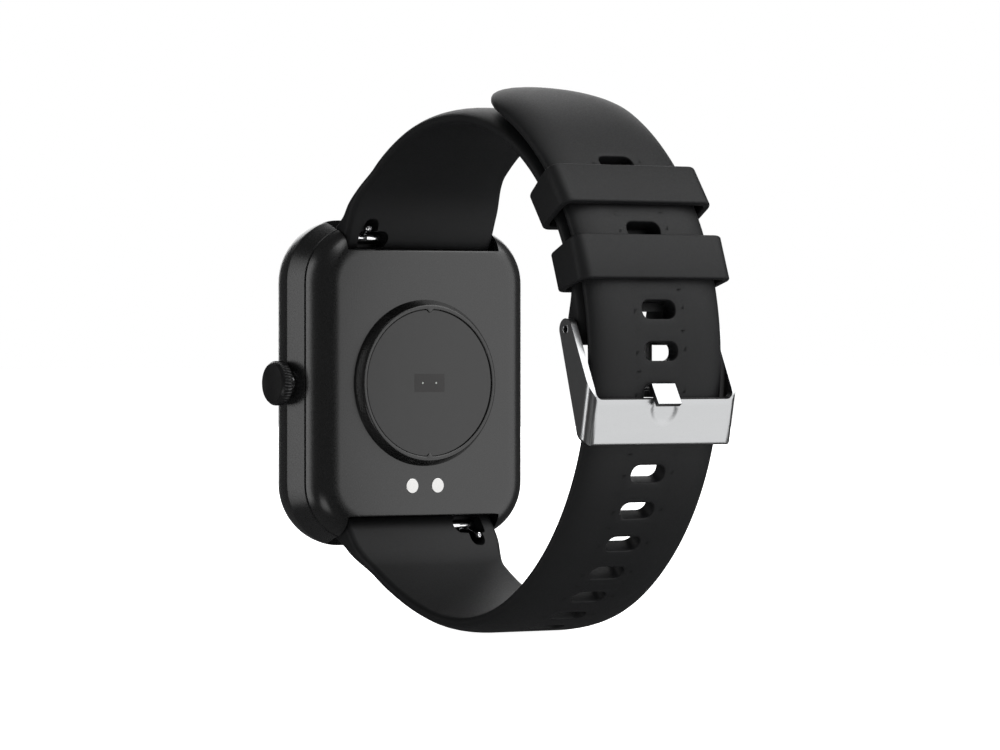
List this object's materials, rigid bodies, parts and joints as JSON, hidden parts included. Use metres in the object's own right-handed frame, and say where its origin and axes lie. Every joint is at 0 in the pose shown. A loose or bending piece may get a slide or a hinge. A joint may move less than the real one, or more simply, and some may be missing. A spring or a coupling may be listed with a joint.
{
  "type": "smartwatch",
  "caption": "Rectangular smartwatch with a domed rear sensor, a push-and-turn crown and a quick-release silicone strap fastened by a tongue buckle and keepers.",
  "frame": {"origin": "centre of the skin face of the rear sensor bump", "axes": "+Z to 12 o'clock, +X to the crown, -Y out of the display, +Y to the wrist"},
  "size_m": [0.0362, 0.064, 0.0673],
  "materials": {
    "frame_black": "satin",
    "rear_black": "fine matte",
    "ring_black": "satin",
    "window_black": "polished",
    "display_glass": "polished",
    "display_black": "polished",
    "silicone": "matte",
    "seal_rubber": "matte",
    "bar_steel": "brushed",
    "buckle_steel": "satin polished",
    "spring_steel": "bright",
    "contact_metal": "polished",
    "magnet_metal": "plated",
    "can_metal": "satin",
    "knob_metal": "black anodised",
    "board_green": "lacquered",
    "chip_black": "matte",
    "flex_amber": "film",
    "battery_foil": "foil",
    "led_clear": "clear"
  },
  "bodies": {
    "case": {"front_frame": "frame_black", "rear_housing": "rear_black", "case_gasket": "seal_rubber", "display_glass": "display_glass", "display_adhesive": "seal_rubber", "display_panel": "display_black", "display_flex": "flex_amber", "inner_frame": "chip_black", "main_board": "board_green", "shield_can": "can_metal", "board_chips": "chip_black", "antenna": "flex_amber", "battery": "battery_foil", "vibration_motor": "can_metal", "board_screws": "bar_steel", "sensor_ring": "ring_black", "sensor_window": "window_black", "sensor_board": "board_green", "sensor_module": "chip_black", "sensor_leds": "led_clear", "charging_contacts": "contact_metal", "charging_magnets": "magnet_metal", "crown_tube": "bar_steel", "crown_switch": "can_metal", "crown_spring": "spring_steel", "upper_bar_tube": "bar_steel", "upper_bar_tip": "bar_steel", "upper_bar_spring": "spring_steel", "lower_bar_tube": "bar_steel", "lower_bar_tip": "bar_steel", "lower_bar_spring": "spring_steel", "buckle_strap": "silicone", "hole_strap": "silicone", "fixed_keeper": "silicone", "buckle_bar": "buckle_steel"},
    "crown_plunger": {"crown_clip": "bar_steel"},
    "crown": {"crown_knob": "knob_metal", "crown_stem": "bar_steel", "crown_seal": "seal_rubber"},
    "upper_release": {"upper_release_pin": "bar_steel"},
    "lower_release": {"lower_release_pin": "bar_steel"},
    "keeper": {"free_keeper": "silicone"},
    "buckle": {"buckle_frame": "buckle_steel"},
    "tongue": {"buckle_tongue": "buckle_steel"}
  },
  "joints": [
    {"name": "crown_push", "type": "slide", "parent": "case", "child": "crown_plunger", "axis": [-1, 0, 0], "range_m": [0, 0.0005], "stiffness_N_per_m": 2000, "springref_m": -0.0002, "deforming": ["crown_spring"]},
    {"name": "crown_turn", "type": "hinge", "parent": "crown_plunger", "child": "crown", "pos_m": [0.0176, -0.0067, 0], "axis": [1, 0, 0], "continuous": true},
    {"name": "upper_release_slide", "type": "slide", "parent": "case", "child": "upper_release", "axis": [-1, 0, 0], "range_m": [0, 0.00095], "stiffness_N_per_m": 1000, "springref_m": -0.0005, "deforming": ["upper_bar_spring"]},
    {"name": "lower_release_slide", "type": "slide", "parent": "case", "child": "lower_release", "axis": [1, 0, 0], "range_m": [0, 0.00095], "stiffness_N_per_m": 1000, "springref_m": -0.0005, "deforming": ["lower_bar_spring"]},
    {"name": "keeper_slide", "type": "hinge", "parent": "case", "child": "keeper", "pos_m": [0, 0.01651, 0.003], "axis": [1, 0, 0], "range_deg": [-6.5, 10]},
    {"name": "buckle_pivot", "type": "hinge", "parent": "case", "child": "buckle", "pos_m": [0, 0.04644, 0.00662], "axis": [1, 0, 0], "range_deg": [0, 6]},
    {"name": "tongue_pivot", "type": "hinge", "parent": "buckle", "child": "tongue", "pos_m": [0, 0.04644, 0.00662], "axis": [1, 0, 0], "range_deg": [0, 4]}
  ]
}
